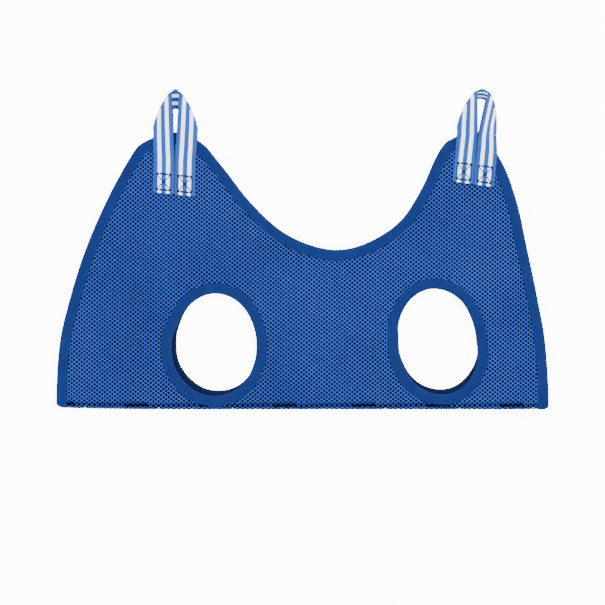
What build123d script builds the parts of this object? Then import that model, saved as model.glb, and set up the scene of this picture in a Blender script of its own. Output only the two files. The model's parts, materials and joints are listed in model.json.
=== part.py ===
from build123d import *
import math
import os

# Mesh lifting sling, folded in half and laid flat, built as separate sewn pieces.
#
# One sheet of spacer mesh is folded along its middle, so that its two halves lie on each
# other. Each half has two ears, a scooped neck between them and two oval leg holes. Woven
# tape binds every cut edge, and a striped webbing loop is sewn to the outside of each ear.
# The sling lies on its back half: +Z is up, the fold runs along X and the ears point to +Y.
# It is drawn with y = 0 at the fold's outer edge and z = 0 under the lowest webbing, then
# moved so that the origin is the centre of the bottom of its box. Units are millimetres.

os.makedirs("parts", exist_ok=True)

# Driving dimensions
mesh_thick = 2.7          # spacer mesh, free
bound_thick = 1.5         # spacer mesh squeezed inside the tape
tape_thick = (mesh_thick - bound_thick) / 2
binding_width = 9.5       # tape seen on each face
halves_gap = 0.8          # air between the two halves
webbing_width = 20.0
webbing_thick = 1.3
loop_clearance = 0.3      # free webbing to the mesh it lies on
thread_width = 0.5
seam_proud = 0.15         # edge seams above the tape
box_proud = 0.3           # heavier loop stitching above the webbing
seam_inset = 1.5          # seam to the tape's inner edge
side_x = 234.4            # half the length of the fold

# Heights: the back half lies on its loops, and the front half lies over the back one
back_bottom = webbing_thick + loop_clearance
front_bottom = back_bottom + mesh_thick + halves_gap
front_top = front_bottom + mesh_thick
fold_height = front_bottom - halves_gap / 2
fold_inner = halves_gap / 2
fold_outer = fold_inner + mesh_thick

# Cut edge of one half, from the left end of the fold over both ears to the right end
outline_points = [
    (-side_x, fold_outer), (-231.2, 63.2), (-220.8, 108.2), (-206.1, 154.1), (-186.1, 200),
    (-165.4, 238.1), (-153.2, 253.7), (-122.1, 264.1), (-97.8, 255.4), (-78.8, 234.6),
    (-50.2, 198.3), (-21.6, 171.4), (6.9, 157.1), (35.5, 152.4), (64.1, 160.2),
    (92.6, 179.2), (111.7, 206.9), (130.7, 246.8), (140.3, 257.1), (167.1, 264.1),
    (188.7, 238.1), (203.5, 200), (213.8, 154.1), (223.4, 108.2), (231.2, 63.2),
    (side_x, fold_outer),
]

# Leg openings of the front half, and how far off it the back half's own lie, because the
# fold is a little off the sheet's midline
leg_holes = {
    "left": {"at": (-83.5, 62.9), "half": (40.3, 48.7), "turn": 0.0, "back": (3.0, 3.5)},
    "right": {"at": (128.3, 65.8), "half": (38.6, 50.2), "turn": 8.5, "back": (0.0, 3.8)},
}

# Loops: hinge on the ear, turn in degrees, height of the crown and gap between the legs
loops = {
    "left": {"at": (-121.9, 225.7), "turn": -1.1, "crown": 78.5, "gap": 5.2},
    "right": {"at": (164.5, 235.2), "turn": -5.3, "crown": 70.1, "gap": 7.0},
}
sewn_length = 20.5
sewn_gap = 0.2            # between a loop's two legs where they are sewn
gap_start = 0.35          # share of the crown where the legs have parted fully
bend_inner = 0.65         # inside radius of the webbing's folded corners
box_width, box_height = 12.7, 15.0
box_below_hinge = 1.5


def tangent_at(points, i):
    """Direction of the cut edge at one of its points."""
    if i == 0:
        return Vector(0, 1)
    if i == len(points) - 1:
        return Vector(0, -1)
    return (points[i + 1] - points[i - 1]).normalized()


def arc_nodes():
    """Points and directions along the cut edge, with one more point between each pair.

    Each pair is joined by two arcs that share a tangent, so the whole edge is smooth.
    """
    points = [Vector(*p) for p in outline_points]
    nodes = []
    for i in range(len(points) - 1):
        start, end = points[i], points[i + 1]
        start_way, end_way = tangent_at(points, i), tangent_at(points, i + 1)
        span = end - start
        a = 2 * (1 - start_way.dot(end_way))
        b = 2 * span.dot(start_way + end_way)
        square = span.dot(span)
        reach = 2 * square / (b + math.sqrt(b * b + 4 * a * square))
        near, far = start + start_way * reach, end - end_way * reach
        nodes += [(start, start_way), ((near + far) / 2, (far - near).normalized())]
    nodes.append((points[-1], Vector(0, -1)))
    return nodes


def half_face(inset=0.0):
    """One half's shape in plan, its cut edge moved inwards by inset."""
    moved = []
    for point, way in arc_nodes():
        moved.append((point + Vector(way.Y, -way.X) * inset, way))
    edges = [TangentArc(a, b, tangent=way) for (a, way), (b, _) in zip(moved, moved[1:])]
    return make_face(edges + [Line(moved[-1][0], moved[0][0])])


def hole_face(side, half, growth=0.0):
    """A leg opening in plan, grown by growth all round."""
    hole = leg_holes[side]
    x, y = hole["at"]
    if half == "back":
        x, y = x + hole["back"][0], y + hole["back"][1]
    half_width, half_height = hole["half"]
    return Pos(x, y) * Rot(0, 0, hole["turn"]) * Ellipse(half_width + growth,
                                                         half_height + growth)


def slab(face, low, high):
    """A plan face given thickness between two heights."""
    return Pos(0, 0, low) * extrude(face, high - low)


def both_faces(face, base, proud):
    """A line of thread on the upper and on the lower face of a half."""
    return [slab(face, base + mesh_thick, base + mesh_thick + proud),
            slab(face, base - proud, base)]


def u_binding(tape_face, core_face, base):
    """Tape wrapped round a cut edge: a slab with the squeezed mesh's room taken out."""
    core = slab(core_face, base + tape_thick, base + tape_thick + bound_thick)
    return slab(tape_face, base, base + mesh_thick) - core


def build_half(half, base):
    """Mesh, bindings and seams of one half, whose mesh is laid at height base."""
    pieces = {}
    seam_line = binding_width - seam_inset
    near_thread, far_thread = seam_line - thread_width / 2, seam_line + thread_width / 2
    plies, core = half_face(binding_width), half_face(tape_thick)
    pieces[f"{half}_edge_binding"] = u_binding(half_face() - plies, core, base)
    thread = half_face(near_thread) - half_face(far_thread)
    pieces[f"{half}_edge_seam"] = both_faces(thread, base, seam_proud)
    for side in leg_holes:
        tape_edge = hole_face(side, half, binding_width)
        raw_edge = hole_face(side, half, tape_thick)
        ring = tape_edge - hole_face(side, half)
        pieces[f"{half}_{side}_leg_binding"] = u_binding(ring, tape_edge - raw_edge, base)
        thread = hole_face(side, half, far_thread) - hole_face(side, half, near_thread)
        pieces[f"{half}_{side}_leg_seam"] = both_faces(thread, base, seam_proud)
        plies, core = plies - tape_edge, core - raw_edge
    pieces[f"{half}_mesh"] = (slab(plies, base, base + mesh_thick)
                              + slab(core, base + tape_thick, base + tape_thick + bound_thick))
    return pieces


def half_tube(inner, outer, start, end):
    """Half of a tube round the fold's axis, on the side away from the ears."""
    ring = Circle(outer) - Circle(inner)
    ring &= Pos(-outer, 0) * Rectangle(2 * outer, 4 * outer)
    return Pos(start, fold_outer, fold_height) * extrude(Plane.YZ * ring, end - start)


def build_fold():
    """The turn of the sheet between the halves, with its tape at both ends."""
    core_inner, core_outer = fold_inner + tape_thick, fold_outer - tape_thick
    mesh_end = side_x - binding_width
    core_end = side_x - tape_thick
    core = half_tube(core_inner, core_outer, -core_end, core_end)
    left = half_tube(fold_inner, fold_outer, -side_x, -mesh_end) - core
    right = half_tube(fold_inner, fold_outer, mesh_end, side_x) - core
    mesh = half_tube(fold_inner, fold_outer, -mesh_end, mesh_end) + core
    return {"fold_mesh": mesh, "fold_binding_left": left, "fold_binding_right": right}


def fold_bend(corner, low, high):
    """The webbing's turn along the slanted line from the outer corner to the crown."""
    outer = bend_inner + webbing_thick
    ring = Circle(outer) - Circle(bend_inner)
    ring &= Pos(outer, 0) * Rectangle(2 * outer, 4 * outer)
    along = Vector(*corner[1]) - Vector(*corner[0])
    outwards = Vector(-along.Y, along.X).normalized()
    start = Vector(*corner[0], (low + high) / 2)
    plane = Plane(origin=start, x_dir=outwards, z_dir=along.normalized())
    return extrude(plane * ring, along.length)


def free_bight(shape):
    """The free part of a loop, lying flat, with the top of its legs at z = 0.

    Each leg turns back on itself along a slanted line, and the two meet in a short run of
    webbing behind them.
    """
    half_gap, half_sewn = shape["gap"] / 2, sewn_gap / 2
    bend_reach = (bend_inner + webbing_thick) * math.sqrt(2)
    top = shape["crown"] - bend_reach
    shoulder = top - webbing_width
    parted = shape["crown"] * gap_start
    outer = half_gap + webbing_width
    run_top = -webbing_thick - 2 * bend_inner
    leg = make_face(Polyline(
        (half_sewn, 0), (half_gap, parted), (half_gap, top), (outer, shoulder),
        (outer, parted), (half_sewn + webbing_width, 0), close=True))
    run = make_face(Polyline(
        (-outer, shoulder), (-half_gap, top), (half_gap, top), (outer, shoulder), close=True))
    right = slab(leg, -webbing_thick, 0)
    right += fold_bend([(half_gap, top), (outer, shoulder)], run_top - webbing_thick, 0)
    return right + mirror(right, Plane.YZ) + slab(run, run_top - webbing_thick, run_top)


def box_stitch():
    """A stitched box with a cross in it, in plan."""
    frame = Rectangle(box_width, box_height)
    frame -= Rectangle(box_width - 2 * thread_width, box_height - 2 * thread_width)
    corner_angle = math.degrees(math.atan2(box_height, box_width))
    length = math.hypot(box_width, box_height) - 3 * thread_width
    for angle in (corner_angle, -corner_angle):
        frame += Rot(0, 0, angle) * Rectangle(length, thread_width)
    return frame


def build_loop(half, side):
    """A webbing loop: the free bight, its two sewn ends and their box stitching."""
    shape = loops[side]
    bight_top = front_top + loop_clearance + webbing_thick
    sewn_top = front_top + webbing_thick
    bight = Pos(0, 0, bight_top) * free_bight(shape)
    ends, threads = [], []
    for x in (-(sewn_gap + webbing_width) / 2, (sewn_gap + webbing_width) / 2):
        end = Pos(x, -sewn_length / 2) * Rectangle(webbing_width, sewn_length)
        ends.append(slab(end, front_top, sewn_top))
        box = Pos(x, -box_below_hinge - box_height / 2) * box_stitch()
        threads.append(slab(box, sewn_top, sewn_top + box_proud))
        threads.append(slab(box, front_bottom - seam_proud, front_bottom))
    loop = {f"{half}_{side}_loop": [bight], f"{half}_{side}_loop_ends": ends,
            f"{half}_{side}_loop_stitching": threads}
    place = Pos(*shape["at"]) * Rot(0, 0, shape["turn"])
    loop = {name: [place * s for s in shapes] for name, shapes in loop.items()}
    if half == "back":
        fold_plane = Plane.XY.offset(fold_height)
        loop = {name: [mirror(s, fold_plane) for s in shapes] for name, shapes in loop.items()}
    return loop


def dented(ends, threads):
    """Webbing ends with room left for the seam that they are sewn down over."""
    return [end - threads for end in ends]


def solids_of(shape):
    """Every solid in a shape or a list of shapes."""
    shapes = shape if isinstance(shape, (list, tuple)) else [shape]
    return [solid for s in shapes for solid in s.solids()]


def build_sling():
    """All pieces by name, drawn from the fold's outer edge."""
    pieces = {**build_half("front", front_bottom), **build_half("back", back_bottom)}
    pieces.update(build_fold())
    for half in ("front", "back"):
        for side in loops:
            loop = build_loop(half, side)
            ends = f"{half}_{side}_loop_ends"
            loop[ends] = dented(loop[ends], pieces[f"{half}_edge_seam"])
            pieces.update(loop)
    return {name: solids_of(shape) for name, shape in pieces.items()}


def main():
    pieces = build_sling()
    box = Compound([s for solids in pieces.values() for s in solids]).bounding_box()
    to_origin = Pos(-box.center().X, -box.center().Y, -box.min.Z)
    for name, solids in pieces.items():
        export_step(to_origin * Compound(solids), f"parts/{name}.step")
    print("moved by", to_origin.position)


main()
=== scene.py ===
import json
import math

import bmesh
import bpy
import numpy as np
from mathutils import Matrix, Vector, noise
from mathutils.kdtree import KDTree

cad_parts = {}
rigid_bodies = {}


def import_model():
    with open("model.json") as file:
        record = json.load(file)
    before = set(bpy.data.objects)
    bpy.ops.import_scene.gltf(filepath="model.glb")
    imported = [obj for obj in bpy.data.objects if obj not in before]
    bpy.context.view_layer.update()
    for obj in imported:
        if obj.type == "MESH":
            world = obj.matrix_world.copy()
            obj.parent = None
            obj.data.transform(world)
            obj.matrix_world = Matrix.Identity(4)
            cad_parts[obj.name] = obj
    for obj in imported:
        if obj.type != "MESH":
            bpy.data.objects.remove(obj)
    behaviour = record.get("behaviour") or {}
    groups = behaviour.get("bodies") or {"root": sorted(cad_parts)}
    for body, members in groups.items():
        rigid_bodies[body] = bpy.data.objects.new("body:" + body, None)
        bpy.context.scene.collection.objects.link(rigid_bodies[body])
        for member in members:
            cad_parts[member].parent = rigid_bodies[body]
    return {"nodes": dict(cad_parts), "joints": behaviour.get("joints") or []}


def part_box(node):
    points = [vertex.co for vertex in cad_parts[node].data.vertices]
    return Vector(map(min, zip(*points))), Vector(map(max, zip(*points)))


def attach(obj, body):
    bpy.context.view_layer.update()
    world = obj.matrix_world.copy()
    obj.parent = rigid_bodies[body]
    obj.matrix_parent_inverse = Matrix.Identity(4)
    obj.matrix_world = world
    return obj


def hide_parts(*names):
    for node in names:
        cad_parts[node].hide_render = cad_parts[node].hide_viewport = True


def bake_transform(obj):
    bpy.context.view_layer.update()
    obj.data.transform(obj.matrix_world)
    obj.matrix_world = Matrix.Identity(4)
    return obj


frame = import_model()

scene = bpy.context.scene
for leftover in [o for o in scene.objects if o.name in ("Cube", "Light", "Camera")]:
    bpy.data.objects.remove(leftover)
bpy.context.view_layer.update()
halves = ("front", "back")
sides = ("left", "right")
print("frame loaded")

joints = {joint["name"]: joint for joint in frame["joints"]}
foldPoint = Vector(joints["fold_open"]["pos_m"])
halfBox = {half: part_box(f"{half}_mesh") for half in halves}
midLevel = {half: (halfBox[half][0].z + halfBox[half][1].z) / 2 for half in halves}
outward = {"front": 1, "back": -1}
sheetRadius = (midLevel["front"] - midLevel["back"]) / 2    # of the sheet's middle as it turns at the fold
foldPoint.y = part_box("fold_mesh")[1].y
tapeOver = 0.0006         # how far the tape reaches past the end of the mesh
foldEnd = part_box("fold_mesh")[1].x + tapeOver


# wraps one socket, so that shader maths reads as ordinary expressions
class Wire:
    def __init__(self, tree, socket):
        self.tree = tree
        self.socket = socket

    def math(self, operation, *values):
        return self.node("ShaderNodeMath", {"operation": operation}, dict(enumerate(values)))

    def node(self, kind, settings=None, links=None, out=0):
        made = self.tree.nodes.new(kind)
        for name, value in (settings or {}).items():
            setattr(made, name, value)
        for key, value in (links or {}).items():
            if isinstance(value, Wire):
                self.tree.links.new(value.socket, made.inputs[key])
            else:
                made.inputs[key].default_value = value
        return Wire(self.tree, made.outputs[out])

    def __add__(self, other): return self.math("ADD", self, other)
    def __sub__(self, other): return self.math("SUBTRACT", self, other)
    def __mul__(self, other): return self.math("MULTIPLY", self, other)
    def __radd__(self, other): return self.math("ADD", other, self)
    def __rsub__(self, other): return self.math("SUBTRACT", other, self)
    def __rmul__(self, other): return self.math("MULTIPLY", other, self)
    def wave(self): return self.math("SINE", self)
    def size(self): return self.math("ABSOLUTE", self)
    def over(self, edge): return self.math("GREATER_THAN", self, edge)
    def wrap(self): return self.math("FRACT", self)

    def mix(self, first, second):
        return self.node("ShaderNodeMix", {"data_type": "RGBA"},
                         {"Factor": self, 6: first, 7: second}, out=2)


def srgb(red, green, blue):
    def linear(value):
        value /= 255
        return value / 12.92 if value <= 0.04045 else ((value + 0.055) / 1.055) ** 2.4
    return (linear(red), linear(green), linear(blue), 1.0)


def newMaterial(name, sheen, gloss):
    material = bpy.data.materials.new(name)
    material.use_nodes = True
    tree = material.node_tree
    shader = next(n for n in tree.nodes if n.type == "BSDF_PRINCIPLED")
    shader.inputs["Sheen Weight"].default_value = sheen
    shader.inputs["Sheen Roughness"].default_value = 0.5
    shader.inputs["Specular IOR Level"].default_value = gloss
    coordinates = tree.nodes.new("ShaderNodeTexCoord")
    return material, shader, Wire(tree, coordinates.outputs["Object"]), Wire(tree, coordinates.outputs["UV"])


def connect(shader, color, roughness, height=None, strength=0.5, distance=0.0003):
    wires = {"Base Color": color, "Roughness": roughness}
    if height is not None:
        wires["Normal"] = height.node("ShaderNodeBump", None,
                                      {"Strength": strength, "Distance": distance, "Height": height})
    for name, value in wires.items():
        if isinstance(value, Wire):
            value.tree.links.new(value.socket, shader.inputs[name])
        else:
            shader.inputs[name].default_value = value


def split(wire):
    return [wire.node("ShaderNodeSeparateXYZ", None, {0: wire}, out=i) for i in range(3)]


def noiseWire(place, scale, detail=3.0):
    return place.node("ShaderNodeTexNoise", None, {"Vector": place, "Scale": scale, "Detail": detail})


# knitted face yarn of the spacer mesh: lit and shaded copies of one blue, painted light and shade, mixed by
# fine noise and by broad patches of painted light
yarnLook = {"shade": (15, 33, 96), "lit": (44, 80, 170), "filaments": 9000.0, "lightPatch": 9.0}


def meshFaceMaterial():
    material, shader, place, _ = newMaterial("spacer mesh yarn", 0.02, 0.08)
    x, y, _ = split(place)
    fine = noiseWire(place, 900.0)
    lightPatch = noiseWire(place, yarnLook["lightPatch"], 2.0)
    tone = fine * 0.9 + lightPatch * 0.55 - 0.2
    color = tone.mix(srgb(*yarnLook["shade"]), srgb(*yarnLook["lit"]))
    filaments = (x * yarnLook["filaments"] + y * yarnLook["filaments"] * 0.55).wave()
    connect(shader, color, 0.78, filaments * 0.5 + fine, 0.4, 0.00012)
    return material


# near-black core colour: painted shade seen down through the holes, on the hole walls and under the turn at
# the fold
def shadeCoreMaterial():
    material, shader, place, _ = newMaterial("spacer mesh painted shade core", 0.0, 0.0)
    fine = noiseWire(place, 1400.0)
    connect(shader, fine.mix(srgb(1, 2, 9), srgb(4, 9, 30)), 0.95, fine, 0.7, 0.0003)
    return material


# tape colour in a shaded and a lit copy, painted light and shade mixed by noise and the weave; inside
# darkens the side between the halves as painted shade
tapeLook = {"shade": (7, 22, 61), "lit": (14, 33, 84), "inside": 0.55, "weave": 5200.0}


def tapeMaterial():
    material, shader, place, across = newMaterial("binding tape", 0.0, 0.04)
    u, v, _ = split(across)
    weave = (u * tapeLook["weave"]).wave() * (v * tapeLook["weave"]).wave()
    soft = noiseWire(place, 70.0)
    fine = noiseWire(place, 600.0)
    tone = soft * 0.75 + fine * 0.35 + weave * 0.12 - 0.05
    color = tone.mix(srgb(*tapeLook["shade"]), srgb(*tapeLook["lit"]))
    shaded = [value * tapeLook["inside"] for value in srgb(*tapeLook["shade"])[:3]] + [1.0]
    color = v.over(0.0).mix(shaded, color)      # painted shade: the side between the two halves is darker
    connect(shader, color, 0.7, weave * 0.5 + soft, 0.35, 0.00015)
    return material


# blue and white each in a shaded and a lit copy, mixed by noise and the rib and yarn waves: painted light
# and shade
webLook = {"blueShade": (14, 42, 108), "blueLit": (38, 77, 154), "white": (198, 220, 248),
           "whiteLit": (230, 243, 255), "whiteHalf": 0.232, "ribs": 5200.0, "yarns": 190.0}


def webbingMaterial():
    material, shader, place, along = newMaterial("striped webbing", 0.03, 0.1)
    u, v, _ = split(along)            # u across the webbing from 0 to 1, v along it in metres
    blueBand = ((u * 2.5).wrap() - 0.75).size().over(webLook["whiteHalf"])
    ribs = (v * webLook["ribs"]).wave()
    yarns = (u * webLook["yarns"]).wave()
    fine = noiseWire(place, 800.0)
    shade = fine * 0.8 + ribs * 0.18 + yarns * 0.12
    blue = shade.mix(srgb(*webLook["blueShade"]), srgb(*webLook["blueLit"]))
    white = shade.mix(srgb(*webLook["white"]), srgb(*webLook["whiteLit"]))
    relief = ribs * yarns * 0.5 + ribs * 0.4 + fine * 0.3
    connect(shader, blueBand.mix(white, blue), 0.7, relief, 0.5, 0.0002)
    return material


# thread colour in a shaded and a lit copy, alternated along the twist: painted light and shade
def threadMaterial(name, twistShade, twistLit):
    material, shader, place, _ = newMaterial(name, 0.0, 0.08)
    x, y, _ = split(place)
    twist = ((x + y) * 7000.0).wave() * 0.5 + 0.5
    connect(shader, twist.mix(twistShade, twistLit), 0.65, twist, 0.4, 0.0001)
    return material


meshFace = meshFaceMaterial()
shadeCore = shadeCoreMaterial()
tape = tapeMaterial()
webbing = webbingMaterial()
seamThread = threadMaterial("seam thread", srgb(7, 27, 70), srgb(18, 46, 104))
boxThread = threadMaterial("box thread", srgb(4, 9, 34), srgb(9, 19, 56))
print("materials made")


def finishMesh(name, work, material, recalc=True):
    if recalc:
        bmesh.ops.recalc_face_normals(work, faces=work.faces)
    mesh = bpy.data.meshes.new(name)
    work.to_mesh(mesh)
    work.free()
    mesh.materials.append(material)
    mesh.polygons.foreach_set("use_smooth", [True] * len(mesh.polygons))
    piece = bpy.data.objects.new(name, mesh)
    scene.collection.objects.link(piece)
    return piece


def ease(value):
    value = min(max(value, 0.0), 1.0)
    return value * value * (3 - 2 * value)


drape = {"height": 0.00075, "swell": 1.6, "wavelength": 0.085, "calmFold": 0.03, "calmEar": 0.035,
         "earReach": 0.03}
hingeY = min(Vector(joints[f"front_{side}_loop_swing"]["pos_m"]).y for side in sides)


# gentle rise and fall of the whole sling, still at the fold and under the loops
def drapeAt(x, y):
    calm = ease((y - foldPoint.y) / drape["calmFold"])
    calm *= ease((hingeY - drape["earReach"] - y) / drape["calmEar"])
    return drape["height"] * calm * noise.noise(Vector((x, y, 0.31)) / drape["wavelength"]) * drape["swell"]


# the fold lies a little askew, so it climbs towards its left end and less towards its right
corners = {"left": {"climb": 0.0018, "reach": 0.110, "tip": 0.0024, "tipReach": 0.013},
           "right": {"climb": 0.0004, "reach": 0.050, "tip": 0.0012, "tipReach": 0.008}, "fade": 0.028}


def settled(point):
    climb = 0
    for side, inwardX in (("left", foldEnd + point.x), ("right", foldEnd - point.x)):
        corner = corners[side]
        climb += corner["climb"] * max(1 - inwardX / corner["reach"], 0) ** 2
        climb += corner["tip"] * max(1 - inwardX / corner["tipReach"], 0) ** 2
    fade = 1 - ease((point.y - foldPoint.y) / corners["fade"])
    return Vector((point.x, point.y + climb * fade, point.z))


def onHalf(half, x, y, h):
    return settled(Vector((x, y, midLevel[half] + outward[half] * h + drapeAt(x, y))))


# the closed outlines of a CAD node at one height
def planLoops(node, level):
    work = bmesh.new()
    work.from_mesh(frame["nodes"][node].data)
    bmesh.ops.remove_doubles(work, verts=work.verts, dist=1e-6)
    cut = bmesh.ops.bisect_plane(work, geom=work.verts[:] + work.edges[:] + work.faces[:],
                                 plane_co=(0, 0, level), plane_no=(0, 0, 1))
    edges = [part for part in cut["geom_cut"] if isinstance(part, bmesh.types.BMEdge)]
    links = {}
    for edge in edges:
        for vert in edge.verts:
            links.setdefault(vert, []).append(edge)
    loops, used = [], set()
    for first in edges:
        if first in used:
            continue
        used.add(first)
        loop, vert = [first.verts[0]], first.verts[1]
        while vert is not loop[0]:
            loop.append(vert)
            edge = next((e for e in links[vert] if e not in used), None)
            if edge is None:
                break
            used.add(edge)
            vert = edge.other_vert(vert)
        loops.append([Vector((v.co.x, v.co.y)) for v in loop])
    work.free()
    return loops


def lengthOf(points):
    return sum((b - a).length for a, b in zip(points, points[1:]))


# evenly spaced points along a line
def evenly(points, step, closed):
    route = points + points[:1] if closed else points
    reached = np.concatenate([[0], np.cumsum([(b - a).length for a, b in zip(route, route[1:])])])
    count = max(8, round(reached[-1] / step))
    stops = np.linspace(0, reached[-1], count + 1)
    xs = np.interp(stops, reached, [p.x for p in route])
    ys = np.interp(stops, reached, [p.y for p in route])
    return [Vector((x, y)) for x, y in zip(xs, ys)]


# direction to the left of a line at each of its points
def leftOf(points, closed):
    count = len(points)
    lefts = []
    for i in range(count):
        if closed:
            before, after = points[(i - 1) % (count - 1)], points[(i + 1) % (count - 1)]
        else:
            before, after = points[max(i - 1, 0)], points[min(i + 1, count - 1)]
        way = (after - before).normalized()
        lefts.append(Vector((-way.y, way.x)))
    return lefts


# direction from a cut edge into the cloth: rings have the cloth on their left, open edges on their right
def inwardsOf(points, closed):
    return leftOf(points, closed) if closed else [-left for left in leftOf(points, closed)]


outline = {
    "sliceDepth": 0.0002,     # how far under a half's upper face its CAD outline is read
    "lowest": 12,             # points among which the fold's left end is looked for
    "atFold": 0.0006,         # points this near the fold may be its right end
    "limitStep": 0.002,
}


# cut edge of a half, from the fold's left end over the ears to its right end
def edgeLine(half):
    loop = max(planLoops(f"{half}_edge_binding", halfBox[half][1].z - outline["sliceDepth"]), key=len)
    low = sorted(range(len(loop)), key=lambda i: loop[i].y)[:outline["lowest"]]
    start = min(low, key=lambda i: loop[i].x)
    loop = loop[start:] + loop[:start]
    atFold = [i for i in range(len(loop)) if loop[i].y < foldPoint.y + outline["atFold"]]
    end = max(atFold, key=lambda i: loop[i].x)
    paths = [loop[:end + 1], loop[end:] + loop[:1]]
    line = max(paths, key=lambda path: max(p.y for p in path))
    return line if line[0].x < line[-1].x else line[::-1]


# how far the edge of each opening bulges, in mm, at every 30 degrees round from +X
bulges = {
    "front": {"left": (-0.5, -1.0, -0.6, -0.7, -1.6, -1.6, 1.2, 2.1, 1.4, 0.9, 1.5, 0.3),
              "right": (-1.4, -1.2, 0.0, -0.3, -0.7, -0.8, -1.6, 0.0, 1.0, 1.1, 2.4, 2.0)},
    "back": {"left": (-0.5, -1.0, -0.6, -0.7, -1.6, -1.6, -0.3, 1.0, 0.0, -0.4, 0.5, 0.3),
             "right": (-1.4, -1.2, 0.0, -0.3, -0.7, -1.0, -2.0, 0.0, 1.0, 0.3, 0.7, 1.3)},
}


def bulgeAt(values, angle):
    place = angle / math.tau % 1 * len(values)
    first = int(place)
    share = ease(place - first)
    return (values[first] * (1 - share) + values[(first + 1) % len(values)] * share) / 1000


# edge of a leg opening, run so that the cloth is on its left
def holeLine(half, side):
    level = halfBox[half][1].z - outline["sliceDepth"]
    loop = min(planLoops(f"{half}_{side}_leg_binding", level), key=lengthOf)
    middle = sum(loop, Vector((0, 0))) / len(loop)
    loop = [point + (point - middle).normalized() * bulgeAt(bulges[half][side],
            math.atan2(point.y - middle.y, point.x - middle.x)) for point in loop]
    area = sum(a.x * b.y - b.x * a.y for a, b in zip(loop, loop[1:] + loop[:1]))
    return loop if area < 0 else loop[::-1]


# strip of quads laid by place(i, j); uv gives each corner's place on the cloth
def strip(name, alongCount, acrossCount, place, material, uv, capped=False):
    work = bmesh.new()
    bmesh.ops.create_grid(work, x_segments=alongCount, y_segments=acrossCount, size=1)
    uvLayer = work.loops.layers.uv.new("cloth")
    steps = {vert: (round((vert.co.x + 1) / 2 * alongCount), round((vert.co.y + 1) / 2 * acrossCount))
             for vert in work.verts}
    for face in work.faces:
        for corner in face.loops:
            corner[uvLayer].uv = uv(*steps[corner.vert])
    for vert, (i, j) in steps.items():
        vert.co = place(i, j)
    bmesh.ops.remove_doubles(work, verts=work.verts, dist=1e-6)
    if capped:
        bmesh.ops.holes_fill(work, edges=[edge for edge in work.edges if edge.is_boundary], sides=0)
    return finishMesh(name, work, material)


# binding tape; its profile gives inset and height in mm, from its inner edge round the cut edge of the cloth
tapeShape = {
    "step": 0.0022,
    "turnStep": 0.0007,       # from one place to the next where it turns at the fold
    "pucker": 0.00016,
    "puckerLength": 0.0075,
    "puckerSpan": (0.2, 9.2),
    "edgePucker": 0.7,
    "ringPucker": 1.3,
    "innerPress": 0.72,       # how much flatter it lies on the side towards the other half
    "innerFrom": -1.35,       # the height past which it lies so, and how much flatter it lies before that
    "innerRim": 0.9,
    "profile": [(10.0, 0.70), (9.85, 1.30), (9.3, 1.62), (8.5, 1.60), (8.0, 1.44), (7.5, 1.60), (6.3, 1.80),
                (4.6, 1.88), (2.8, 1.80), (1.2, 1.52), (0.15, 1.0), (-0.3, 0.45)],
}
wholeProfile = tapeShape["profile"] + [(inset, -height) for inset, height in reversed(tapeShape["profile"])]


def tapeHeight(inset, height, x, y, pucker):
    if height < 0:
        height *= tapeShape["innerPress"] if height < tapeShape["innerFrom"] else tapeShape["innerRim"]
    ripple = noise.noise(Vector((x, y, 1.7)) / tapeShape["puckerLength"]) * tapeShape["pucker"] * pucker
    low, high = tapeShape["puckerSpan"]
    return height / 1000 + (ripple if low < inset < high and height > 0 else 0)


def sewTape(name, half, line, closed, pucker, replaced):
    points = evenly(line, tapeShape["step"], closed)
    inwards = inwardsOf(points, closed)

    def place(i, j):
        inset, height = wholeProfile[j]
        spot = points[i] + inwards[i] * inset / 1000
        return onHalf(half, spot.x, spot.y, tapeHeight(inset, height, spot.x, spot.y, pucker))

    def uv(i, j):
        return (i * tapeShape["step"], wholeProfile[j][0] / 1000 * (1 if wholeProfile[j][1] > 0 else -1))

    piece = strip(name, len(points) - 1, len(wholeProfile) - 1, place, tape, uv)
    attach(piece, f"{half}_panel")
    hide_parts(replaced)
    return piece


def foldTape(name, sideSign, replaced):
    turns = 14

    def place(i, j):
        inset, height = wholeProfile[j]
        radius = sheetRadius + tapeHeight(inset, height, 0, 0, 0)
        angle = math.pi * (i / turns - 0.5)
        return settled(Vector((sideSign * (foldEnd - inset / 1000), foldPoint.y - radius * math.cos(angle),
                               foldPoint.z + radius * math.sin(angle))))

    piece = strip(name, turns, len(wholeProfile) - 1, place, tape,
                  lambda i, j: (i * tapeShape["turnStep"], wholeProfile[j][0] / 1000))
    bendOverFold(piece)
    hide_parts(replaced)
    return piece


def bendOverFold(piece):
    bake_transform(piece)


# one stitch, a flattened bead lying along x
def stitchTemplate(length, width, height):
    work = bmesh.new()
    bmesh.ops.create_uvsphere(work, u_segments=8, v_segments=6, radius=0.5)
    bmesh.ops.rotate(work, verts=work.verts, matrix=Matrix.Rotation(math.pi / 2, 3, "Y"))
    bmesh.ops.scale(work, verts=work.verts, vec=(length, width, height))
    mesh = bpy.data.meshes.new("stitch")
    work.to_mesh(mesh)
    work.free()
    return mesh


# many stitches, each given by its middle, direction and the surface's way up
def addStitches(work, template, places):
    for middle, way, up in places:
        before = len(work.verts)
        work.from_mesh(template)
        work.verts.ensure_lookup_table()
        across = up.cross(way).normalized()
        turn = Matrix((way, across, up)).transposed().to_4x4()
        turn.translation = middle
        bmesh.ops.transform(work, matrix=turn, verts=work.verts[before:])


seam = {"pitch": 0.0031, "length": 0.0024, "width": 0.0006, "height": 0.00045, "inset": 0.008,
        "stand": 0.00152, "innerExtra": 0.00012}


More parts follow.
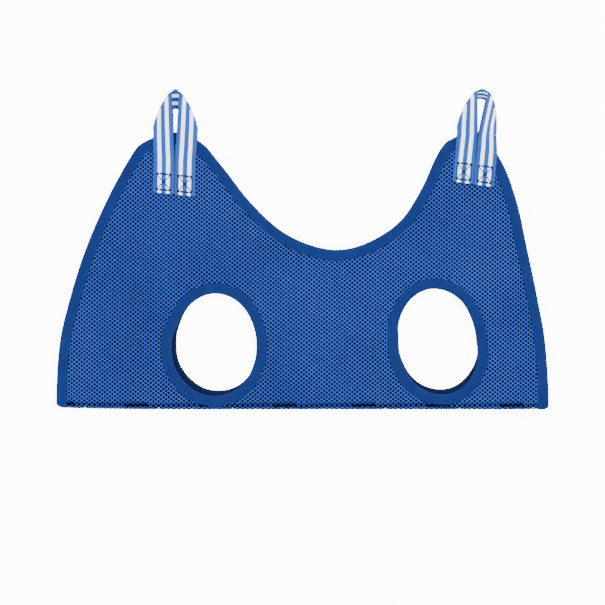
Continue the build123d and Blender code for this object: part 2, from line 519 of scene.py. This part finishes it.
def sewSeam(name, half, line, closed, replaced):
    points = evenly(line, seam["pitch"], closed)
    inwards = inwardsOf(points, closed)
    places = []
    innerStand = seam["stand"] * tapeShape["innerPress"] + seam["innerExtra"]
    for i in range(len(points) - 1):
        spot = points[i] + inwards[i] * seam["inset"]
        following = points[i + 1] + inwards[i + 1] * seam["inset"]
        for face, stand in ((1, seam["stand"]), (-1, innerStand)):
            middle = (spot + following) / 2
            place = onHalf(half, middle.x, middle.y, face * stand)
            way = Vector((*(following - spot), 0)).normalized()
            places.append((place, way, Vector((0, 0, 1))))
    work = bmesh.new()
    addStitches(work, stitchTemplate(seam["length"], seam["width"], seam["height"]), places)
    piece = finishMesh(name, work, seamThread, recalc=False)
    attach(piece, f"{half}_panel")
    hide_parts(replaced)
    return piece


bindings, clothLimits = [], {}
for half in halves:
    edge = edgeLine(half)
    limits = evenly(edge, outline["limitStep"], False)
    bindings.append(sewTape(f"{half}_edge_tape", half, edge, False, tapeShape["edgePucker"],
                            f"{half}_edge_binding"))
    bindings.append(sewSeam(f"{half}_edge_stitches", half, edge, False, f"{half}_edge_seam"))
    holes = []
    for side in sides:
        ring = holeLine(half, side)
        bindings.append(sewTape(f"{half}_{side}_leg_tape", half, ring, True, tapeShape["ringPucker"],
                                f"{half}_{side}_leg_binding"))
        bindings.append(sewSeam(f"{half}_{side}_leg_stitches", half, ring, True, f"{half}_{side}_leg_seam"))
        holes.append(evenly(ring, outline["limitStep"], True))
    clothLimits[half] = {"edge": limits, "holes": holes}
bindings.append(foldTape("fold_tape_left", -1, "fold_binding_left"))
bindings.append(foldTape("fold_tape_right", 1, "fold_binding_right"))
print("bindings sewn")


# spacer mesh: two knitted faces, the far one seen from inside as a reverse, over a near-black core whose
# colour is painted shade
knit = {
    "pitch": 0.00486,         # from hole to hole along a row
    "row": 0.0020,            # between rows, each shifted by half a pitch
    "slope": math.radians(1.6),
    "holeShare": 0.74,
    "wall": 0.0011,
    "ridge": 0.00022,
    "thick": 0.00135,         # from the sheet's middle to its faces
    "sink": 0.00055,          # how far the tape presses the faces down
    "sinkFrom": 0.0085,       # this far from the edge the faces begin to rise again, and over this much
    "sinkFade": 0.004,
    "jitter": 0.00012,
    "jitterLength": 0.003,
    "faceMargin": 0.0055,     # the faces stop this far from the cut edges, under the tape
    "coreMargin": 0.0015,
    "weld": 2e-5,
    "foldShare": 0.0026,      # strip beside the fold that the knit of each half leaves out
    "brimShare": 0.42,        # of the turn at the fold that filled cells in the near-black core colour back, as painted shade
    "brimLevel": 0.0012,
}


# one diamond-shaped cell of the knit, centred on the origin, whole or with a hole
def knitCell(hole, walls):
    work = bmesh.new()
    bmesh.ops.create_circle(work, cap_ends=True, segments=6, radius=1)
    row, halfPitch = knit["row"], knit["pitch"] / 2
    middle = (halfPitch * halfPitch + row * row) / 2
    wide, narrow = middle / halfPitch, (middle - row * row) / halfPitch
    around = sorted(work.verts, key=lambda vert: math.atan2(vert.co.y, vert.co.x))
    corners = [(wide, 0), (narrow, row), (-narrow, row), (-wide, 1e-9), (-narrow, -row), (narrow, -row)]
    corners.sort(key=lambda corner: math.atan2(corner[1], corner[0]))
    for vert, (x, y) in zip(around, corners):
        vert.co = (x, y, 0)
    if hole:
        steps = [(knit["holeShare"], -knit["ridge"]), (1.0, knit["ridge"] - knit["wall"])]
        for share, depth in steps if walls else steps[:1]:
            made = bmesh.ops.extrude_face_region(work, geom=work.faces[:] if len(work.faces) == 1 else [top])
            top = next(part for part in made["geom"] if isinstance(part, bmesh.types.BMFace))
            # the walls of the deeper step take the near-black core colour: painted shade down the holes
            for edge in top.edges:
                for face in edge.link_faces:
                    face.material_index = 1 if share == 1.0 else 0
            for vert in top.verts:
                vert.co = (vert.co.x * share, vert.co.y * share, vert.co.z + depth)
            flat = [f for f in work.faces if f is not top and len(f.verts) == 6]
            bmesh.ops.delete(work, geom=flat, context="FACES_ONLY")
        bmesh.ops.delete(work, geom=[top], context="FACES_ONLY")
    mesh = bpy.data.meshes.new("knit cell")
    work.to_mesh(mesh)
    work.free()
    return mesh


# cells repeated over a width and a length, every second row shifted by half a pitch
def knitField(cell, width, length):
    source = bpy.data.objects.new("knit field", cell)
    scene.collection.objects.link(source)
    for count, offset in ((2, (knit["pitch"] / 2, knit["row"], 0)),
                          (math.ceil(width / knit["pitch"]) + 4, (knit["pitch"], 0, 0)),
                          (math.ceil(length / knit["row"] / 2) + 8, (0, 2 * knit["row"], 0))):
        array = source.modifiers.new("repeat", "ARRAY")
        array.use_relative_offset, array.use_constant_offset = False, True
        array.constant_offset_displace, array.count = offset, count
    field = bpy.data.meshes.new_from_object(source.evaluated_get(bpy.context.evaluated_depsgraph_get()))
    bpy.data.objects.remove(source)
    return field


def treeOf(points):
    tree = KDTree(len(points))
    for i, point in enumerate(points):
        tree.insert((point.x, point.y, 0), i)
    tree.balance()
    return tree


limitTrees = {half: treeOf(limits["edge"] + [p for hole in limits["holes"] for p in hole])
              for half, limits in clothLimits.items()}


# which of many points lie inside a closed outline
def inside(xs, ys, outline):
    found = np.zeros(len(xs), bool)
    for a, b in zip(outline, outline[1:] + outline[:1]):
        crosses = (a.y > ys) != (b.y > ys)
        with np.errstate(divide="ignore", invalid="ignore"):
            found ^= crosses & (xs < (b.x - a.x) * (ys - a.y) / (b.y - a.y) + a.x)
    return found


def onCloth(half, xs, ys):
    limits = clothLimits[half]
    found = inside(xs, ys, limits["edge"])
    for hole in limits["holes"]:
        found &= ~inside(xs, ys, hole)
    return found


# which cells a layer keeps, by their middles: xs across, ss over the cloth from the fold's foremost line
def keptCells(part, xs, ss, turn, margin):
    ys = foldPoint.y + np.abs(ss) - turn
    keep = np.abs(xs) < foldEnd - margin
    for half, sign in outward.items():
        flatPart = ss * sign > turn
        near = np.array([flatPart[i] and limitTrees[half].find((xs[i], ys[i], 0))[2] < margin
                         for i in range(len(xs))])
        good = onCloth(half, xs, ys) & ~near
        keep &= ~flatPart | (good & (part in (half, "all")))
    if part in halves:
        keep &= ss * outward[part] > turn + knit["foldShare"]
    elif part == "brim":
        keep &= np.abs(ss) <= turn * knit["brimShare"]
    return keep


# lays a layer's cells over the halves and round the fold, and presses them down beside the tapes
def layKnit(work, level, turn, sunk):
    way = 1 if level >= 0 else -1
    for vert in work.verts:
        x, s, depth = vert.co
        half = "front" if s > 0 else "back"
        x += noise.noise(Vector((x, s, 5.0)) / knit["jitterLength"]) * knit["jitter"]
        y = foldPoint.y + abs(s) - turn
        edge = foldEnd - abs(x)
        if abs(s) > turn:
            edge = min(edge, limitTrees[half].find((x, y, 0))[2])
        pressed = knit["sink"] * (1 - ease((edge - knit["sinkFrom"]) / knit["sinkFade"])) if sunk else 0
        height = level + way * (depth - pressed)
        radius = sheetRadius + height
        if abs(s) <= turn:
            angle = s / (sheetRadius + level)
            point = Vector((x, foldPoint.y - radius * math.cos(angle),
                            foldPoint.z + radius * math.sin(angle)))
        else:
            point = Vector((x, y, foldPoint.z + math.copysign(radius, s) + drapeAt(x, y)))
        vert.co = settled(point)
    faceUp(work, way)


# a layer of knit: part is front, back, fold, brim or all; level stands off the sheet's middle
def knitLayer(name, part, level, cell, margin, material, sunk):
    turn = math.pi * (sheetRadius + level) / 2
    reach = halfBox["front"][1].y - foldPoint.y + turn
    field = knitField(cell, 2 * foldEnd, 2 * reach)
    flat = np.empty(len(field.vertices) * 3)
    field.vertices.foreach_get("co", flat)
    flat = flat.reshape(-1, 3)
    flat[:, 0] -= foldEnd + knit["pitch"]
    flat[:, 1] -= reach + 4 * knit["row"]
    flat[:, 1] += flat[:, 0] * math.tan(knit["slope"])
    perCell = len(cell.vertices)
    centres = flat.reshape(-1, perCell, 3).mean(axis=1)
    keep = keptCells(part, centres[:, 0], centres[:, 1], turn, margin)
    work = bmesh.new()
    work.from_mesh(field)
    bpy.data.meshes.remove(field)
    for vert in work.verts:
        vert.co = flat[vert.index]
    work.verts.ensure_lookup_table()
    drop = [vert for vert in work.verts if not keep[vert.index // perCell]]
    bmesh.ops.delete(work, geom=drop, context="VERTS")
    bmesh.ops.remove_doubles(work, verts=work.verts, dist=knit["weld"])
    layKnit(work, level, turn, sunk)
    layer = finishMesh(name, work, material, recalc=False)
    layer.data.materials.append(shadeCore)
    return layer


# turns every face of an open layer to the side it is seen from
def faceUp(work, way):
    work.normal_update()
    wrong = []
    for face in work.faces:
        middle = face.calc_center_median()
        if middle.y > foldPoint.y:
            out = Vector((0, 0, way if middle.z > foldPoint.z else -way))
        else:
            out = Vector((0, middle.y - foldPoint.y, middle.z - foldPoint.z)) * way
        if face.normal.dot(out) < -0.02:
            wrong.append(face)
    bmesh.ops.reverse_faces(work, faces=wrong)


openCell, shallowCell, fullCell = knitCell(True, True), knitCell(True, False), knitCell(False, False)
clothPieces = []
for part in ("front", "back", "fold"):
    faces = [(f"{part}_mesh_face", knit["thick"], openCell),
             (f"{part}_mesh_reverse", -knit["thick"], shallowCell)]
    for name, level, cell in faces:
        layer = knitLayer(name, part, level, cell, knit["faceMargin"], meshFace, True)
        if part == "fold":
            bendOverFold(layer)
        else:
            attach(layer, f"{part}_panel")
        clothPieces.append(layer)
        print(name, len(layer.data.polygons))
# backing under the turn at the fold, in the near-black core colour: painted shade
brim = knitLayer("fold_mesh_brim", "brim", knit["brimLevel"], fullCell, knit["faceMargin"], shadeCore, True)
bendOverFold(brim)
clothPieces.append(brim)
# core sheet between the faces; its near-black colour paints the shade inside the mesh
sheetCore = knitLayer("sling_sheet", "all", 0.0, fullCell, knit["coreMargin"], shadeCore, False)
bendOverFold(sheetCore)
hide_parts("front_mesh", "back_mesh", "fold_mesh")
coreArea = sum(face.area for face in sheetCore.data.polygons)
print("mesh knitted", len(sheetCore.data.polygons), "core area", round(coreArea, 4))


# webbing loops, in a frame of their own: x across, y up the legs from the hinge, z off the ear
loopShape = {
    "width": 0.020,
    "thick": 0.0013,
    "bend": 0.0013,           # radius of the middle of the webbing where it turns over
    "sewn": 0.0205,
    "sewnGap": 0.0001,        # from the loop's middle to either leg where they are sewn
    "proud": 0.0005,          # how far it rises over the tape of the ear
    "proudFrom": 0.004,
    "proudOver": 0.012,
    "clearance": 0.0003,      # from the hinge's level to the webbing's face
    "hinge": (-0.0005, 0.0050),       # stretch of webbing about the hinge; makeLoop works out its ends and uses them no further
    "skewShare": 0.7,         # of the way to the crown over which the skew fades
    "legSteps": 64,
    "bendSteps": 8,
    "runSteps": 14,
    "uvStep": 0.0011,         # webbing per step, for its ribs
    # roundness of the turn at the inner edge, how soon it is full, and roundness at the outer edge
    "crease": (0.55, 0.003, 0.36),
    "domeWidth": 0.0045,
    "left": {"crown": 0.0794, "gapTop": 0.0034, "gapLength": 0.065, "gapPower": 0.9, "blunt": 0.0018,
             "eyeRound": 0.004, "arch": 0.038, "archPower": 1.6, "runShare": 0.85, "rise": 0.0088,
             "lifted": 1.0, "early": (1.0, 1.0), "skew": 4.8},
    "right": {"crown": 0.0701, "gapTop": 0.0052, "gapLength": 0.043, "gapPower": 1.0, "blunt": 0.0040,
              "eyeRound": 0.003, "arch": 0.038, "archPower": 1.8, "runShare": 0.37, "rise": 0.0128,
              "lifted": 0.74, "early": (1.0, 0.6), "skew": 2.5},
}
halfWide, halfThick = loopShape["width"] / 2, loopShape["thick"] / 2
webSection = [(0.0, 0)]       # round the webbing: place across it and height
for k in range(11):
    webSection.append((loopShape["width"] * (0.5 + (k / 5 - 1) * 0.4875), halfThick))
webSection.append((loopShape["width"], 0))
webSection += [(w, -h) for w, h in reversed(webSection[1:-1])]
webSection.append(webSection[0])


# how far the inner edge of a leg has risen at a distance from the crown
def riseAt(shape, leg, down):
    return shape["rise"] * ease((shape["crown"] - down) / (shape["crown"] * shape["early"][leg]))


# quarter of a circle that rises from 0 at 0 to 1 at 1
def rounded(share):
    share = min(max(share, 0), 1)
    return math.sqrt(share * (2 - share))


# distance from the loop's middle line to a point w in from the leg's inner edge
def legReach(shape, leg, w, down):
    parted = max(1 - down / shape["gapLength"], 0) ** shape["gapPower"] * rounded(down / shape["eyeRound"])
    lean = riseAt(shape, leg, down) / loopShape["width"]
    return loopShape["sewnGap"] + shape["gapTop"] * parted + w * math.sqrt(1 - lean * lean)


# the pointed arch that the crown shows from the front
def archReach(shape, leg, down):
    share = 1 - (1 - min(down / shape["arch"], 1)) ** shape["archPower"]
    top = shape["blunt"] * rounded(down / shape["eyeRound"])
    return top + (legReach(shape, leg, loopShape["width"], down) - top) * share


# distance from the crown at which the webbing turns over, w in from the inner edge
def turnOver(shape, leg, w):
    near, far = 0.0, shape["arch"]
    for _ in range(30):
        middle = (near + far) / 2
        if archReach(shape, leg, middle) < legReach(shape, leg, w, middle):
            near = middle
        else:
            far = middle
    return near


# a point of one leg's half of the loop: step counts from the sewn end to the middle of the run
def bightPoint(shape, leg, step, w, h, lifted):
    legSteps, bendSteps, runSteps = loopShape["legSteps"], loopShape["bendSteps"], loopShape["runSteps"]
    bend, share = loopShape["bend"], 1 - w / loopShape["width"]
    turn = turnOver(shape, leg, w)
    slope = (archReach(shape, leg, turn + 1e-4) - archReach(shape, leg, max(turn - 1e-4, 0))) / 2e-4
    inner, soon, outer = loopShape["crease"]
    towardsOuter = ease(w / loopShape["width"] * 1.6 - 0.6)
    roundness = min(inner + (1 - inner) * ease(w / soon), 1 - (1 - outer) * towardsOuter)
    away = Vector((1, slope, 0)).normalized() * roundness
    base = Vector((legReach(shape, leg, w, turn), shape["crown"] - bend - turn, -bend))
    if step <= legSteps:
        y = -loopShape["sewn"] + (base.y + loopShape["sewn"]) * step / legSteps
        point = Vector((legReach(shape, leg, w, max(shape["crown"] - bend - y, 0)), y, 0))
        up = Vector((0, 0, 1))
    elif step <= legSteps + bendSteps:
        angle = math.pi * (step - legSteps) / bendSteps
        up = away * math.sin(angle) + Vector((0, 0, math.cos(angle)))
        point = base + up * bend
    else:
        left = 1 - (step - legSteps - bendSteps) / runSteps
        top = shape["crown"] - bend * ease(w / loopShape["domeWidth"]) - shape["runShare"] * w
        point = Vector((base.x * left, top + (base.y - top) * (1 - math.sqrt(1 - left * left)), -2 * bend))
        up = Vector((0, 0, -1))
    point += up * h
    lift = riseAt(shape, leg, max(shape["crown"] - bend - point.y, 0)) * share * lifted
    point.z += lift + loopShape["proud"] * ease((point.y - loopShape["proudFrom"]) / loopShape["proudOver"])
    return point


# from a loop's own frame to the sling's
def loopToFrame(half, side, point):
    shape = loopShape[side]
    joint = joints[f"{half}_{side}_loop_swing"]
    hinge, across = Vector(joint["pos_m"]), Vector(joint["axis"]) * outward[half]
    upwards = Vector((-across.y, across.x, 0))
    fade = 1 - ease(point.y / (shape["crown"] * loopShape["skewShare"]))
    sheared = point.y - point.x * math.tan(math.radians(shape["skew"])) * fade
    level = foldPoint.z + outward[half] * (abs(hinge.z - foldPoint.z) - loopShape["clearance"] - halfThick)
    off = Vector((0, 0, outward[half] * point.z))
    return Vector((hinge.x, hinge.y, level)) + across * point.x + upwards * sheared + off


def makeLoop(half, side):
    shape = loopShape[side]
    lifted = shape["lifted"] if half == "front" else 0      # the loop underneath is pressed flat
    halfSteps = loopShape["legSteps"] + loopShape["bendSteps"] + loopShape["runSteps"]

    def place(i, j):
        leg, step = (0, i) if i <= halfSteps else (1, 2 * halfSteps - i)
        w, h = webSection[j]
        point = bightPoint(shape, leg, step, w, h, lifted)
        if leg == 0:
            point.x = -point.x
        return loopToFrame(half, side, point)

    def uv(i, j):
        step = min(i, 2 * halfSteps - i)
        return (webSection[j][0] / loopShape["width"], step * loopShape["uvStep"])

    piece = strip(f"{half}_{side}_webbing", 2 * halfSteps, len(webSection) - 1, place, webbing, uv, True)
    hingeLow, hingeHigh = [loopToFrame(half, side, Vector((0, y, 0))) for y in loopShape["hinge"]]
    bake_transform(piece)
    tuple(hingeLow)
    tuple(hingeHigh)
    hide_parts(f"{half}_{side}_loop", f"{half}_{side}_loop_ends")
    return piece


boxSeam = {"width": 0.0140, "height": 0.0152, "below": 0.0021, "pitch": 0.0026, "length": 0.0026,
           "thread": 0.0022, "flankThread": 0.0007, "crossThread": 0.0013, "proud": 0.0010, "rest": 0.0001}


# the stitch lines of the box with a cross that holds one leg, and how wide each line's thread is
def boxLines(x):
    halfW, top, low = boxSeam["width"] / 2, -boxSeam["below"], -boxSeam["below"] - boxSeam["height"]
    a, b = Vector((x - halfW, top)), Vector((x + halfW, top))
    c, d = Vector((x + halfW, low)), Vector((x - halfW, low))
    rows, flanks, crosses = [(a, b), (c, d)], [(b, c), (d, a)], [(a, c), (b, d)]
    return [(rows, boxSeam["thread"]), (flanks, boxSeam["flankThread"]), (crosses, boxSeam["crossThread"])]


def makeBoxStitches(half, side):
    inner = -(halfBox[half][1].z - halfBox[half][0].z) - halfThick - boxSeam["rest"]
    work = bmesh.new()
    for x in (-halfWide - loopShape["sewnGap"], halfWide + loopShape["sewnGap"]):
        for lines, thread in boxLines(x):
            places = []
            for a, b in lines:
                along = b - a
                count = max(2, round(along.length / boxSeam["pitch"]))
                for k in range(count):
                    middle = a.lerp(b, (k + 0.5) / count)
                    for level in (halfThick, inner):
                        spot = loopToFrame(half, side, Vector((middle.x, middle.y, level)))
                        ahead = Vector((middle.x + along.x, middle.y + along.y, level))
                        ahead = loopToFrame(half, side, ahead)
                        places.append((spot, (ahead - spot).normalized(), Vector((0, 0, 1))))
            addStitches(work, stitchTemplate(boxSeam["length"], thread, boxSeam["proud"]), places)
    piece = finishMesh(f"{half}_{side}_box_stitches", work, boxThread, recalc=False)
    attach(piece, f"{half}_panel")
    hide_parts(f"{half}_{side}_loop_stitching")
    return piece


loopPieces = []
for half in halves:
    for side in sides:
        loopPieces += [makeLoop(half, side), makeBoxStitches(half, side)]
print("loops sewn")

clothPieces + bindings + loopPieces

floorShape = {"size": 6.0, "drop": 0.0006, "glow": 9.0}
work = bmesh.new()
bmesh.ops.create_grid(work, x_segments=1, y_segments=1, size=floorShape["size"] / 2)
bmesh.ops.translate(work, verts=work.verts, vec=(0, 0, -floorShape["drop"]))
floorMaterial, floorShader, _, _ = newMaterial("floor", 0.0, 0.1)
connect(floorShader, srgb(250, 250, 250), 0.9)
floorShader.inputs["Emission Color"].default_value = (1, 1, 1, 1)
floorShader.inputs["Emission Strength"].default_value = floorShape["glow"]
floor = finishMesh("floor", work, floorMaterial, recalc=False)


def areaLight(name, place, size, power):
    data = bpy.data.lights.new(name, "AREA")
    data.shape, data.size, data.energy = "SQUARE", size, power
    lamp = bpy.data.objects.new(name, data)
    lamp.location = place
    lamp.rotation_euler = (Vector((0, 0, 0)) - Vector(place)).to_track_quat("-Z", "Y").to_euler()
    scene.collection.objects.link(lamp)


areaLight("soft overhead", (0.3, 0.5, 2.4), 1.7, 118)
areaLight("upper right fill", (1.5, 1.3, 1.3), 0.9, 70)
areaLight("lower left key", (-1.5, -1.2, 1.3), 0.6, 70)
world = bpy.data.worlds.new("studio")
world.use_nodes = True
world.node_tree.nodes["Background"].inputs["Color"].default_value = (1, 1, 1, 1)
world.node_tree.nodes["Background"].inputs["Strength"].default_value = 0.8
scene.world = world

# straight above; width is what the frame takes in at the level of the sling
view = {"pastFold": 0.1023, "height": 1.9, "width": 0.576, "level": 0.008}
camera = bpy.data.objects.new("camera", bpy.data.cameras.new("camera"))
camera.location = (0.0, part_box("fold_mesh")[0].y + view["pastFold"], view["height"])
camera.data.lens = camera.data.sensor_width * (view["height"] - view["level"]) / view["width"]
scene.collection.objects.link(camera)
scene.camera = camera

print("scene ready")
